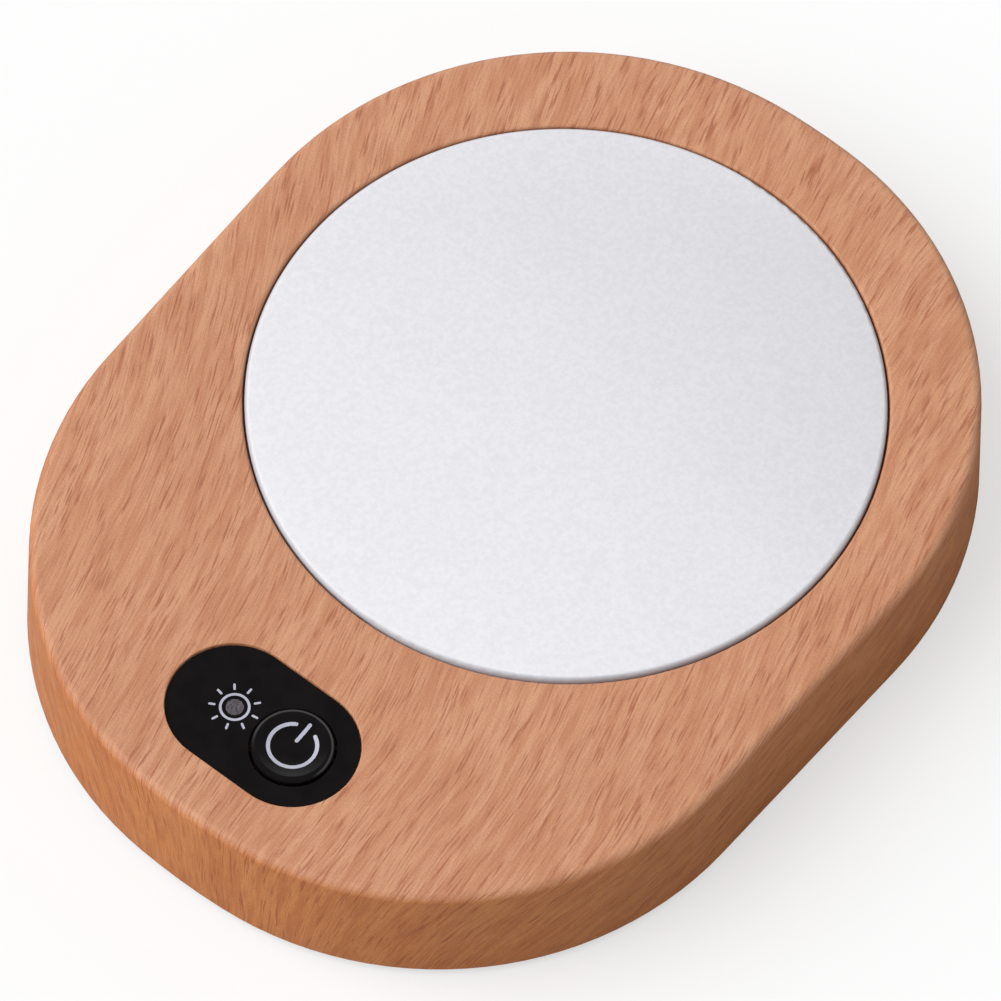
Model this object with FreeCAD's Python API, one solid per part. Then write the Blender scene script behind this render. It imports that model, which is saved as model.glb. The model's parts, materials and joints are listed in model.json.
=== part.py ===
import FreeCAD, Part
import math
import os
from FreeCAD import Vector

# Electric mug warmer with a printed wood-look body, in millimetres.
# +Z is up and the origin is under the middle of the body, on the surface it stands on.
# The user sits at -Y, where the control panel is. The heating plate is towards +Y.

# Body outline, measured at the lower rim
body_length = 140.0
body_width = 110.0
front_width = 108.0
back_corner_radius = 52.4
front_corner_radius = 50.4
back_crown_radius = 105.0
front_crown_radius = 102.0

# Body section
top_z = 20.0
rim_z = 1.2
draft = 0.8
top_edge_radius = 1.4
rim_edge_radius = 0.4
wall = 2.2
top_wall = 2.2
rib_thickness = 1.2
rib_bottom_z = 9.0
seat_rib_length, seat_rib_reach = 18.0, 52.0
seat_rib_angles = (20, 42, 75, 105, 138, 160, 200, 340)
front_rib_x, front_rib_y = 38.0, -40.0
front_rib_length, front_rib_lean = 22.0, 52.0

# Heating plate and the seat that carries it
plate_x, plate_y = 0.0, 12.7
plate_radius = 43.8
plate_top_z = 20.3
plate_thickness = 1.8
plate_edge_radius = 0.7
skirt_thickness = 2.0
opening_gap = 0.3
lip_radius = 0.5
ledge_top_z = 16.4
ledge_bottom_z = 15.0
ledge_inner_radius = 40.5
seat_wall = 1.8
gasket_thickness = 0.8
gasket_gap = 0.05
gasket_inset = 0.6
gasket_lip_top_z = 19.2
post_count = 4
post_circle_radius = 33.0
post_radius = 3.0
post_thread_radius = 1.25
post_thread_top_z = 17.8

# Heater stack, from the plate down
mica_thickness = 0.35
track_thickness = 0.2
heater_radius = 39.5
clamp_radius = 40.0
clamp_thickness = 0.8
pad_radius = 39.5
shield_thickness = 0.8
shield_floor_z = 12.6
shield_clearance = 0.1
shield_flange = 0.4
stack_post_gap = 0.4
pad_post_gap = 0.5
mica_centre_hole = 3.4
clamp_centre_hole = 3.1
pad_centre_hole = 5.6
shield_centre_hole = 2.0
shield_screw_hole = 1.6
sensor_radius = 2.2
sensor_length_gap = 0.2
holder_radius, holder_flange_radius = 3.0, 5.4
holder_flange_thickness, holder_height = 0.9, 1.2

# Heating strip: rows of arcs with a gap on one side where the terminals are
strip_width = 1.7
strip_rows = 7
strip_first_radius = 8.0
strip_step = 3.25
strip_gap_half = 7.0
strip_gap_angle = 225.0
terminals = [(-21.0, -6.0), (-21.0, -10.6)]
terminal_pad_radius = 1.6
terminal_radius = 1.0
terminal_washer_radius = 1.8
terminal_washer_thickness = 0.3
terminal_hole_gap = 0.1
clamp_terminal_hole = 2.2

# Pocket in the insulation pad for the thermal fuse and the lead ends
pocket_x0, pocket_x1 = -25.0, 10.0
pocket_y0, pocket_y1 = -12.5, 0.0
fuse_y, fuse_z, fuse_radius = -6.0, 15.2, 1.4
fuse_x0, fuse_x1 = -14.0, -4.0
fuse_cone, fuse_tail, fuse_wire_radius = 1.5, 1.6, 0.4
fuse_cone_base, fuse_cone_tip = 1.2, 0.7
clip_x0, clip_x1 = -12.0, -8.0
clip_thickness, clip_foot = 0.3, 3.0
barrel_radius = 1.1
barrel_length = 3.4
barrel_wall_end = 1.2
grommet_x, grommet_y = 5.0, -6.0
grommet_hole, grommet_bore, grommet_flange_radius, grommet_flange = 3.6, 2.6, 4.4, 0.6

# Control panel
panel_y = -52.3
panel_half_straight = 5.12
panel_radius = 9.15
panel_top_z = 19.6
panel_thickness = 1.0
panel_gap = 0.06
panel_edge_radius = 0.15
pocket_edge_radius = 0.2
adhesive_thickness = 0.2
adhesive_inset = 0.4
panel_floor_thickness = 1.8
panel_floor_margin = 2.0
light_x, light_y = -4.74, -52.45
light_radius = 1.22
light_gap = 0.1
light_flange_radius, light_flange = 2.2, 0.8

# Power button, a cap with a shallow dish that slides in the panel
button_x = panel_half_straight
button_y = panel_y
button_radius = 5.65
button_hole_radius = 5.85
button_hole_edge_radius = 0.2
button_crown = 0.75
button_edge_radius = 0.75
button_dish = 0.55
button_dish_radius = 4.85
button_flange_radius = 7.0
button_flange_gap = 0.1
key_half = 6.5
key_gap = 0.15
key_width, key_length, key_drop = 4.0, 1.0, 3.0

# Tactile switch under the button
switch_height = 3.5
switch_half = 3.0
switch_plate = 0.3
switch_well_radius, switch_well_floor = 2.5, 1.4
switch_leg_reach, switch_leg_y, switch_leg_half = 4.4, 2.25, 0.35
switch_cover_hole = 1.9
plunger_radius, plunger_flange_radius = 1.7, 2.3
plunger_low, plunger_flange_top, plunger_top = 2.3, 2.75, 5.0
dome_rise, dome_half, dome_thickness = 0.8, 2.3, 0.1

# Control board
board_z = 9.0
board_thickness = 1.6
board_half_width = 22.5
board_y0, board_y1 = -61.0, -36.0
board_corner = 3.0
board_post_x = 19.0
board_post_y = (-57.5, -39.5)
board_post_radius = 2.4
board_post_hole, board_post_hole_top_z = 0.95, 15.5
board_screw_hole = 1.2

# Parts soldered to the board, each placed by its middle
led_half_x, led_half_y, led_base, led_dome_radius, led_height = 1.75, 1.4, 1.1, 1.15, 1.8
chip_x, chip_y, chip_half_x, chip_half_y, chip_height = -12.0, -46.6, 2.5, 1.95, 1.6
chip_leg_pitch, chip_leg_half, chip_leg_reach = 1.27, 0.2, 3.0
transistor_x, transistor_y, transistor_half, transistor_height = 15.5, -49.5, 3.3, 2.3
capacitor_places = [(-12.0, -55.0), (-17.8, -50.5)]
capacitor_radius, capacitor_height, capacitor_crimp = 2.5, 5.2, 0.15
resistor_rows = [(-3.0, -45.2, 4), (-5.0, -58.8, 5)]
resistor_pitch, resistor_half_x, resistor_half_y, resistor_height = 2.6, 0.6, 1.0, 0.55

# Headers at the board's back edge, and the plugs in them
header_places = {"heater": -10.0, "sensor": 0.0, "supply": 10.0}
header_width, header_height, header_wall = 7.4, 3.4, 0.6
header_y0, header_y1 = -42.0, -36.6
header_back_wall = 1.2
plug_y1 = -34.4
plug_gap = 0.05
plug_back_gap = 0.2
plug_ridge = 0.35

# Leads inside the body, and the levels they run at
lead_radius = 0.7
thin_lead_radius = 0.4
lead_pitch = 2.5
lead_bend = 5.0
lead_straight, lead_drop_end = 3.5, 7.5
heater_run_z = 9.6
sensor_run_z = 7.8
heater_lead_spread = 1.2
sensor_lead_spread = 0.7
supply_lead_y, supply_lead_end_y = 48.0, 57.0

# Power inlet in the back wall
inlet_z = 8.0
inlet_width, inlet_height = 8.94, 3.26
inlet_metal = 0.3
inlet_depth = 7.35
inlet_mouth_y = 68.7
inlet_gap = 0.3
inlet_recess_width, inlet_recess_height = 13.0, 7.4
inlet_slot_y0, inlet_slot_y1 = 60.0, 75.0
inlet_back = 1.8
tongue_half, tongue_thickness, tongue_inset = 3.35, 0.7, 1.0
contact_count, contact_pitch, contact_width, contact_thickness = 6, 1.0, 0.3, 0.08
contact_y0, contact_y1 = 63.5, 67.1
inlet_board_half_x = 14.0
inlet_board_y0, inlet_board_y1 = 54.5, 64.5
inlet_board_thickness = 1.2
inlet_post_x, inlet_post_y = 10.5, 60.0
inlet_post_radius, inlet_post_hole, inlet_post_hole_z = 2.4, 0.95, 2.8

# Bottom cover, its screws and its feet
cover_thickness = 2.0
cover_gap = 0.3
cover_edge_radius = 0.3
cover_lip_inset, cover_lip_thickness, cover_lip_height = 0.5, 1.2, 1.2
cover_boss_radius = 4.6
cover_boss_z = 5.4
cover_screw_places = [(s * x, y) for x, y in ((24.0, 55.5), (46.5, -16.0), (27.0, -55.0)) for s in (-1, 1)]
cover_post_radius, cover_post_hole, cover_post_hole_top_z = 2.8, 1.25, 14.0
cover_recess_radius, cover_recess_z, cover_screw_hole = 3.2, 4.0, 1.6
cover_cross_ribs_y, cover_cross_rib_length = (-20.0, 5.0), 76.0
cover_long_ribs_x, cover_long_rib_y, cover_long_rib_length = (-30.0, 30.0), -8.0, 60.0
vent_count, vent_pitch, vent_y, vent_radius, vent_length = 9, 5.0, 29.0, 0.9, 14.0
label_width, label_depth, label_y = 46.0, 22.0, -7.5
label_corner, label_margin = 2.0, 0.2
label_sink, label_thickness = 0.3, 0.15
foot_radius = 6.0
foot_height = 2.0
foot_gap = 0.15
foot_edge_radius = 0.5
foot_dimple_radius, foot_dimple = 2.5, 0.3
foot_places = {
    "foot_front_left": (-36.0, -38.0),
    "foot_front_right": (36.0, -38.0),
    "foot_rear_left": (-40.0, 36.0),
    "foot_rear_right": (40.0, 36.0),
}

# Screws: head radius, head height, shank radius, length and thread ridge
cover_screw = (2.8, 2.0, 1.2, 8.0, 0.12)
plate_screw = (2.7, 1.9, 1.2, 4.6, 0.12)
board_screw = (2.0, 1.5, 0.9, 5.6, 0.08)
inlet_screw = (1.9, 1.4, 0.9, 3.4, 0.08)

# How far a joined shape runs into its neighbour, and a cutting shape past what it cuts
sink = 0.5
over = 1.0
sliver = 0.001

# Sizes that follow from the ones above
back_y = body_length / 2
front_y = -body_length / 2
ceiling_z = top_z - top_wall
opening_radius = plate_radius + opening_gap
plate_under_z = plate_top_z - plate_thickness
track_z = plate_under_z - mica_thickness
lower_mica_z = track_z - track_thickness
clamp_z = lower_mica_z - mica_thickness - clamp_thickness
panel_under_z = panel_top_z - panel_thickness
panel_floor_z = panel_under_z - adhesive_thickness
floor_under_z = panel_floor_z - panel_floor_thickness
board_top_z = board_z + board_thickness
plunger_top_z = board_top_z + plunger_top
lead_z = board_top_z + header_height / 2
cover_top_z = rim_z + cover_thickness
inlet_board_z = inlet_z - inlet_height / 2 - inlet_board_thickness
inlet_board_top_z = inlet_board_z + inlet_board_thickness
supply_run_z = inlet_board_top_z + lead_radius
board_screw_places = [(s * board_post_x, y) for y in board_post_y for s in (-1, 1)]
inlet_post_places = [(s * inlet_post_x, inlet_post_y) for s in (-1, 1)]


# Basic shapes
def cylinder(radius, z0, z1, x=0.0, y=0.0):
    return Part.makeCylinder(radius, z1 - z0, Vector(x, y, z0))


def ring(outer, inner, z0, z1, x=0.0, y=0.0):
    return cylinder(outer, z0, z1, x, y).cut(cylinder(inner, z0, z1, x, y))


def rod(radius, x0, x1, y, z):
    """A round bar along X."""
    return Part.makeCylinder(radius, x1 - x0, Vector(x0, y, z), Vector(1, 0, 0))


def block(x0, x1, y0, y1, z0, z1):
    return Part.makeBox(x1 - x0, y1 - y0, z1 - z0, Vector(x0, y0, z0))


def bar(x, y, z0, z1, width, length, angle=0.0):
    """A bar centred on (x, y), its length along the angle in degrees from +X."""
    shape = block(-length / 2, length / 2, -width / 2, width / 2, z0, z1)
    shape.rotate(Vector(0, 0, 0), Vector(0, 0, 1), angle)
    shape.translate(Vector(x, y, 0))
    return shape


def rounded_prism(width, depth, radius, z0, z1, x=0.0, y=0.0):
    """An upright prism on a rectangle with round corners."""
    w, d = width / 2 - radius, depth / 2 - radius
    shape = block(x - width / 2, x + width / 2, y - d, y + d, z0, z1)
    shape = shape.fuse(block(x - w, x + w, y - depth / 2, y + depth / 2, z0, z1))
    corners = [cylinder(radius, z0, z1, x + i * w, y + j * d) for i in (-1, 1) for j in (-1, 1)]
    return shape.fuse(corners).removeSplitter()


def arc(centre, radius, start, end):
    """An arc in the XY plane, counter-clockwise, with its angles in degrees."""
    circle = Part.Circle(centre, Vector(0, 0, 1), radius)
    return Part.ArcOfCircle(circle, math.radians(start), math.radians(end)).toShape()


def capsule(half_straight, radius, z0, z1, x=0.0, y=0.0):
    """An upright prism on a capsule that is long along X."""
    right, left = Vector(x + half_straight, y, z0), Vector(x - half_straight, y, z0)
    up = Vector(0, radius, 0)
    edges = [
        arc(right, radius, -90, 90),
        Part.makeLine(right + up, left + up),
        arc(left, radius, 90, 270),
        Part.makeLine(left - up, right - up),
    ]
    return Part.Face(Part.Wire(edges)).extrude(Vector(0, 0, z1 - z0))


def turned(profile, x=0.0, y=0.0):
    """The solid made by turning a closed (radius, height) profile about an upright axis."""
    points = [Vector(r, 0, z) for r, z in profile]
    face = Part.Face(Part.makePolygon(points + points[:1]))
    shape = face.revolve(Vector(0, 0, 0), Vector(0, 0, 1), 360)
    shape.translate(Vector(x, y, 0))
    return shape


def on_circle(count, radius, x, y):
    """Places spaced evenly on a circle."""
    angles = [2 * math.pi * i / count for i in range(count)]
    return [(x + radius * math.cos(a), y + radius * math.sin(a)) for a in angles]


def edges_at(shape, z, keep=None):
    """The edges that lie wholly at one height, and that keep accepts."""
    level = [e for e in shape.Edges if max(abs(e.BoundBox.ZMin - z), abs(e.BoundBox.ZMax - z)) < sliver]
    return [e for e in level if keep is None or keep(e)]


def screw(x, y, head_z, size):
    """A self-tapping screw that points up, with its head's bearing face at head_z."""
    head_radius, head_height, shank_radius, length, ridge = size
    pitch = shank_radius * 0.8
    core = shank_radius - ridge
    under = head_z - head_height
    profile = [(0, under), (head_radius * 0.7, under)]
    profile += [(head_radius, head_z - head_height * 0.55), (head_radius, head_z), (core, head_z)]
    for i in range(int((length - 2 * pitch) / pitch)):
        z = head_z + pitch * (i + 0.5)
        profile += [(core, z), (shank_radius, z + pitch * 0.35), (core, z + pitch * 0.7)]
    profile += [(core, head_z + length - pitch), (core * 0.35, head_z + length), (0, head_z + length)]
    body = turned(profile, x, y)
    recess_z = head_z - head_height * 0.45
    return body.cut([bar(x, y, under, recess_z, head_radius * 0.26, head_radius * 1.1, a) for a in (0, 90)])


# Body outline: a crown and a corner arc at each end of every side, joined by a straight side
def outline_arcs():
    """Centres and angles of the outline's arcs on the +X side, at the rim."""
    back_in = body_width / 2 - back_corner_radius
    front_in = front_width / 2 - front_corner_radius
    back_turn = math.asin(back_in / (back_crown_radius - back_corner_radius))
    front_turn = math.asin(front_in / (front_crown_radius - front_corner_radius))
    back_crown = Vector(0, back_y - back_crown_radius, 0)
    front_crown = Vector(0, front_y + front_crown_radius, 0)
    back_reach = (back_crown_radius - back_corner_radius) * math.cos(back_turn)
    front_reach = (front_crown_radius - front_corner_radius) * math.cos(front_turn)
    back_corner = Vector(back_in, back_crown.y + back_reach, 0)
    front_corner = Vector(front_in, front_crown.y - front_reach, 0)
    across = front_corner - back_corner
    lean = math.acos((back_corner_radius - front_corner_radius) / across.Length)
    side = math.degrees(math.atan2(across.y, across.x) + lean)
    turns = math.degrees(back_turn), math.degrees(front_turn)
    return back_crown, back_corner, front_corner, front_crown, side, *turns


def mirrored(point):
    return Vector(-point.x, point.y, point.z)


def outline(offset, z):
    """The body's outline as a closed wire, grown by the offset."""
    back_crown, back_corner, front_corner, front_crown, side, back_turn, front_turn = outline_arcs()
    lift = Vector(0, 0, z)
    normal = Vector(math.cos(math.radians(side)), math.sin(math.radians(side)), 0)
    side_back = back_corner + normal * (back_corner_radius + offset) + lift
    side_front = front_corner + normal * (front_corner_radius + offset) + lift
    edges = [
        arc(front_crown + lift, front_crown_radius + offset, 270 - front_turn, 270 + front_turn),
        arc(front_corner + lift, front_corner_radius + offset, 270 + front_turn, 360 + side),
        Part.makeLine(side_front, side_back),
        arc(back_corner + lift, back_corner_radius + offset, side, 90 - back_turn),
        arc(back_crown + lift, back_crown_radius + offset, 90 - back_turn, 90 + back_turn),
        arc(mirrored(back_corner) + lift, back_corner_radius + offset, 90 + back_turn, 180 - side),
        Part.makeLine(mirrored(side_back), mirrored(side_front)),
        arc(mirrored(front_corner) + lift, front_corner_radius + offset, 180 - side, 270 - front_turn),
    ]
    return Part.Wire(edges)


def outline_prism(offset, z0, z1):
    return Part.Face(outline(offset, z0)).extrude(Vector(0, 0, z1 - z0))


def outline_loft(offset0, z0, offset1, z1):
    """The body's outline drawn from one offset and height to another."""
    return Part.makeLoft([outline(offset0, z0), outline(offset1, z1)], True, True)


def wall_offset(z):
    """How far the outer wall leans in at a height."""
    return -draft * (z - rim_z) / (top_z - rim_z)


# Printed body: side wall, top, plate seat, panel pocket, posts and ribs in one moulding
def make_top_shell():
    shell = outline_loft(0, rim_z, -draft, top_z)
    shell = shell.makeFillet(top_edge_radius, edges_at(shell, top_z))
    shell = shell.makeFillet(rim_edge_radius, edges_at(shell, rim_z))
    shell = shell.cut(outline_loft(-wall, rim_z - sliver, -wall + wall_offset(ceiling_z), ceiling_z))
    shell = shell.fuse([plate_seat(), panel_floor()] + shell_posts() + shell_ribs())
    shell = shell.cut([plate_opening(), panel_pocket(), inlet_opening()] + shell_holes())
    shell = shell.makeFillet(lip_radius, edges_at(shell, top_z, on_opening))
    return shell.makeFillet(pocket_edge_radius, edges_at(shell, top_z, on_pocket))


def plate_seat():
    """The wall round the plate and the ledge that the gasket sits on."""
    outer = opening_radius + seat_wall
    ledge = ring(outer, ledge_inner_radius, ledge_bottom_z, ledge_top_z, plate_x, plate_y)
    return ledge.fuse(ring(outer, opening_radius, ledge_bottom_z, ceiling_z + sink, plate_x, plate_y))


def plate_opening():
    return cylinder(opening_radius, ledge_top_z, top_z + over, plate_x, plate_y)


def panel_floor():
    margin = panel_radius + panel_floor_margin
    return capsule(panel_half_straight, margin, floor_under_z, ceiling_z + sink, 0, panel_y)


def panel_pocket():
    return capsule(panel_half_straight, panel_radius + panel_gap, panel_floor_z, top_z + over, 0, panel_y)


def on_opening(edge):
    middle = edge.BoundBox.Center
    return abs(middle.y - plate_y) < 1 and abs(edge.BoundBox.XLength - 2 * opening_radius) < 0.1


def on_pocket(edge):
    box = edge.BoundBox
    reach = panel_radius + 1
    across = abs(box.Center.x) < panel_half_straight + reach
    return across and box.YMax < panel_y + reach and box.YMin > panel_y - reach


def shell_posts():
    """Posts that hang from the ceiling for the screws, and the guides for the button's flats."""
    top = ceiling_z + sink
    posts = [cylinder(cover_post_radius, cover_boss_z, top, x, y) for x, y in cover_screw_places]
    posts += [cylinder(board_post_radius, board_top_z, top, x, y) for x, y in board_screw_places]
    key_x = key_half + key_gap + key_length / 2
    low, high = floor_under_z - key_drop, floor_under_z + sink
    posts += [bar(button_x + s * key_x, button_y, low, high, key_width, key_length) for s in (-1, 1)]
    return posts


def shell_ribs():
    """Ribs from the plate's seat to the side wall, and two at the front corners."""
    top = ceiling_z + sink
    inside = outline_prism(-wall, rib_bottom_z, top)
    keep_out = cylinder(opening_radius + sink, rib_bottom_z - over, top_z, plate_x, plate_y)
    ribs = []
    for angle in seat_rib_angles:
        x = plate_x + seat_rib_reach * math.cos(math.radians(angle))
        y = plate_y + seat_rib_reach * math.sin(math.radians(angle))
        ribs.append(bar(x, y, rib_bottom_z, top, rib_thickness, seat_rib_length, angle))
    for side in (-1, 1):
        x, lean = side * front_rib_x, -side * front_rib_lean
        ribs.append(bar(x, front_rib_y, rib_bottom_z, top, rib_thickness, front_rib_length, lean))
    return [rib.cut(keep_out).common(inside) for rib in ribs]


def shell_holes():
    """Holes under the button and the light, and the screw holes in the posts."""
    low, high = floor_under_z - over, panel_floor_z + over
    holes = [cylinder(button_hole_radius, low, high, button_x, button_y)]
    holes.append(cylinder(light_radius + light_gap, low, high, light_x, light_y))
    for x, y in cover_screw_places:
        holes.append(cylinder(cover_post_hole, cover_boss_z - over, cover_post_hole_top_z, x, y))
    for x, y in board_screw_places:
        holes.append(cylinder(board_post_hole, board_top_z - over, board_post_hole_top_z, x, y))
    return holes


def inlet_opening():
    """The slot for the inlet and the round-cornered recess that a plug's body sinks into."""
    slot = upright_slot(inlet_width + inlet_gap, inlet_height + inlet_gap, inlet_slot_y0, inlet_slot_y1)
    recess = upright_slot(inlet_recess_width, inlet_recess_height, inlet_mouth_y, inlet_slot_y1)
    return slot.fuse(recess)


def upright_slot(width, height, y0, y1):
    """A prism along Y on a slot with round ends, centred on the inlet."""
    shape = capsule((width - height) / 2, height / 2, 0, y1 - y0)
    shape.rotate(Vector(0, 0, 0), Vector(1, 0, 0), -90)
    shape.translate(Vector(0, y0, inlet_z))
    return shape


# Base: a flat plate inside the rim with a lip, screw bosses, stands, ribs, vents and recesses
def make_bottom_cover():
    edge = -wall - cover_gap
    cover = outline_prism(edge, rim_z, cover_top_z)
    cover = cover.makeFillet(cover_edge_radius, edges_at(cover, rim_z))
    return cover.fuse([cover_lip(edge)] + cover_stands() + cover_ribs()).cut(cover_holes())


def cover_lip(edge):
    """The low wall that centres the base in the body."""
    outer, inner = edge - cover_lip_inset, edge - cover_lip_inset - cover_lip_thickness
    high = cover_top_z + cover_lip_height
    hollow = outline_prism(inner, cover_top_z - over, high + over)
    return outline_prism(outer, cover_top_z - sink, high).cut(hollow)


def cover_stands():
    low = rim_z + sink
    bosses = [cylinder(cover_boss_radius, low, cover_boss_z, x, y) for x, y in cover_screw_places]
    return bosses + [cylinder(inlet_post_radius, low, inlet_board_z, x, y) for x, y in inlet_post_places]


def cover_ribs():
    low, high = rim_z + sink, cover_top_z + cover_lip_height
    ribs = [bar(0, y, low, high, rib_thickness, cover_cross_rib_length) for y in cover_cross_ribs_y]
    for x in cover_long_ribs_x:
        ribs.append(bar(x, cover_long_rib_y, low, high, rib_thickness, cover_long_rib_length, 90))
    return ribs


def cover_holes():
    low = rim_z - over
    holes = []
    for x, y in cover_screw_places:
        holes.append(cylinder(cover_recess_radius, low, cover_recess_z, x, y))
        holes.append(cylinder(cover_screw_hole, cover_recess_z - over, cover_boss_z + over, x, y))
    holes += [cylinder(foot_radius + foot_gap, low, foot_height, x, y) for x, y in foot_places.values()]
    for i in range(vent_count):
        x = (i - (vent_count - 1) / 2) * vent_pitch
        holes.append(capsule_along_y(x, vent_y, vent_radius, vent_length, low, cover_top_z + over))
    holes += [cylinder(inlet_post_hole, inlet_post_hole_z, inlet_z, x, y) for x, y in inlet_post_places]
    width, depth = label_width + 2 * label_margin, label_depth + 2 * label_margin
    corner = label_corner + label_margin
    holes.append(rounded_prism(width, depth, corner, low, rim_z + label_sink, 0, label_y))
    return holes


def capsule_along_y(x, y, radius, length, z0, z1):
    shape = capsule(length / 2 - radius, radius, z0, z1)
    shape.rotate(Vector(0, 0, 0), Vector(0, 0, 1), 90)
    shape.translate(Vector(x, y, 0))
    return shape


def make_rating_label():
    """A bare sticker in the base's recess, with no printing on it."""
    top = rim_z + label_sink
    return rounded_prism(label_width, label_depth, label_corner, top - label_thickness, top, 0, label_y)


def make_foot(x, y):
    """A round rubber foot glued into its recess, with a small dimple underneath."""
    foot = cylinder(foot_radius, 0, foot_height, x, y)
    foot = foot.makeFillet(foot_edge_radius, edges_at(foot, 0))
    return foot.cut(cylinder(foot_dimple_radius, -over, foot_dimple, x, y))


def make_cover_screws():
    return Part.makeCompound([screw(x, y, cover_recess_z, cover_screw) for x, y in cover_screw_places])


# Heating plate: pressed and machined aluminium with a rolled edge, a skirt and four screw posts
def post_places():
    return on_circle(post_count, post_circle_radius, plate_x, plate_y)


def make_heating_plate():
    plate = cylinder(plate_radius, ledge_top_z + gasket_thickness, plate_top_z, plate_x, plate_y)
    plate = plate.makeFillet(plate_edge_radius, edges_at(plate, plate_top_z))
    plate = plate.cut(cylinder(plate_radius - skirt_thickness, ledge_top_z, plate_under_z, plate_x, plate_y))
    post_end = shield_floor_z + shield_thickness
    posts = [cylinder(post_radius, post_end, plate_under_z + sink, x, y) for x, y in post_places()]
    holes = [cylinder(post_thread_radius, post_end - over, post_thread_top_z, x, y) for x, y in post_places()]
    return plate.fuse(posts).cut(holes)


def make_plate_gasket():
    """A silicone ring under the skirt, with a thin lip that fills the gap round the plate."""
    outer = opening_radius - gasket_gap
    lip_inner = plate_radius + gasket_gap
    inner = plate_radius - skirt_thickness - gasket_inset
    flat_top = ledge_top_z + gasket_thickness
    profile = [(inner, ledge_top_z), (outer, ledge_top_z), (outer, gasket_lip_top_z)]
    profile += [(lip_inner, gasket_lip_top_z), (lip_inner, flat_top), (inner, flat_top)]
    return turned(profile, plate_x, plate_y)


# Heater stack
def heater_disc(radius, z0, z1, post_gap, centre_hole):
    """A disc of the heater stack with holes for the plate's posts and for the sensor."""
    disc = cylinder(radius, z0, z1, plate_x, plate_y)
    holes = [cylinder(post_radius + post_gap, z0, z1, x, y) for x, y in post_places()]
    holes.append(cylinder(centre_hole, z0, z1, plate_x, plate_y))
    return disc.cut(holes)


def terminal_holes(radius, z0, z1):
    return [cylinder(radius, z0, z1, x, y) for x, y in terminals]


def make_heater_upper_mica():
    return heater_disc(heater_radius, track_z, plate_under_z, stack_post_gap, mica_centre_hole)


def make_heater_lower_mica():
    low = lower_mica_z - mica_thickness
    disc = heater_disc(heater_radius, low, lower_mica_z, stack_post_gap, mica_centre_hole)
    return disc.cut(terminal_holes(terminal_radius + terminal_hole_gap, clamp_z, track_z))


def make_heater_track():
    """One etched strip: rows of half-ring arcs, joined at alternate ends, out and back."""
    z0, z1 = lower_mica_z, track_z
    radii = [strip_first_radius + i * strip_step for i in range(strip_rows)]
    gap = block(0, 2 * heater_radius, -strip_gap_half, strip_gap_half, z0 - over, z1 + over)
    slit_half = (strip_step - strip_width) / 2
    slit = block(-2 * heater_radius, 0, -slit_half, slit_half, z0 - over, z1 + over)
    rings = [ring(r + strip_width / 2, r - strip_width / 2, z0, z1).cut([gap, slit]) for r in radii]
    inner, half = radii[0], strip_width / 2
    links = [block(-inner - half, -inner + half, -1, 1, z0, z1)]
    for i in range(strip_rows - 1):
        for side in (-1, 1):
            links.append(track_link(radii[i], radii[i + 1], side, i % 2 == 0, z0, z1))
    for side, place in zip((1, -1), terminals):
        links.append(terminal_link(place, radii[-1], side, z0, z1))
    track = rings[0].fuse(rings[1:] + links)
    track.rotate(Vector(0, 0, 0), Vector(0, 0, 1), strip_gap_angle)
    track.translate(Vector(plate_x, plate_y, 0))
    pads = [cylinder(terminal_pad_radius, z0, z1, x, y) for x, y in terminals]
    holes = terminal_holes(terminal_radius, z0 - over, z1 + over)
    return track.fuse(pads).cut(holes).removeSplitter()


def track_link(low, high, side, at_gap, z0, z1):
    """The short piece that joins one row to the next, at the gap or opposite it."""
    edge = strip_gap_half if at_gap else (strip_step - strip_width) / 2
    y0, y1 = sorted((side * edge, side * (edge + strip_width)))
    sign = 1 if at_gap else -1
    near = sign * math.sqrt(low**2 - min(edge + strip_width, low) ** 2 * 0.98)
    far = sign * math.sqrt(high**2 - edge**2)
    x0, x1 = sorted((near, far))
    return block(x0, x1, y0, y1, z0, z1)


def terminal_link(place, outer, side, z0, z1):
    """The piece that runs from the outer row's end to a terminal, in the strip's own frame."""
    turn = math.radians(-strip_gap_angle)
    dx, dy = place[0] - plate_x, place[1] - plate_y
    start = Vector(dx * math.cos(turn) - dy * math.sin(turn), dx * math.sin(turn) + dy * math.cos(turn), 0)
    reach = math.sqrt(outer**2 - strip_gap_half**2)
    end = Vector(reach, side * (strip_gap_half + strip_width / 2 - terminal_hole_gap), 0)
    run, middle = end - start, (start + end) / 2
    return bar(middle.x, middle.y, z0, z1, strip_width, run.Length, math.degrees(math.atan2(run.y, run.x)))


def make_clamp_plate():
    """The steel disc that presses the heater flat against the plate."""
    disc = heater_disc(clamp_radius, clamp_z, clamp_z + clamp_thickness, stack_post_gap, clamp_centre_hole)
    return disc.cut(terminal_holes(clamp_terminal_hole, clamp_z, clamp_z + clamp_thickness))


def make_insulation_pad():
    """Ceramic-fibre felt between the clamp plate and the shield, open round the fuse and leads."""
    pad = heater_disc(pad_radius, shield_floor_z + shield_thickness, clamp_z, pad_post_gap, pad_centre_hole)
    return pad.cut(block(pocket_x0, pocket_x1, pocket_y0, pocket_y1, shield_floor_z, clamp_z))


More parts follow.
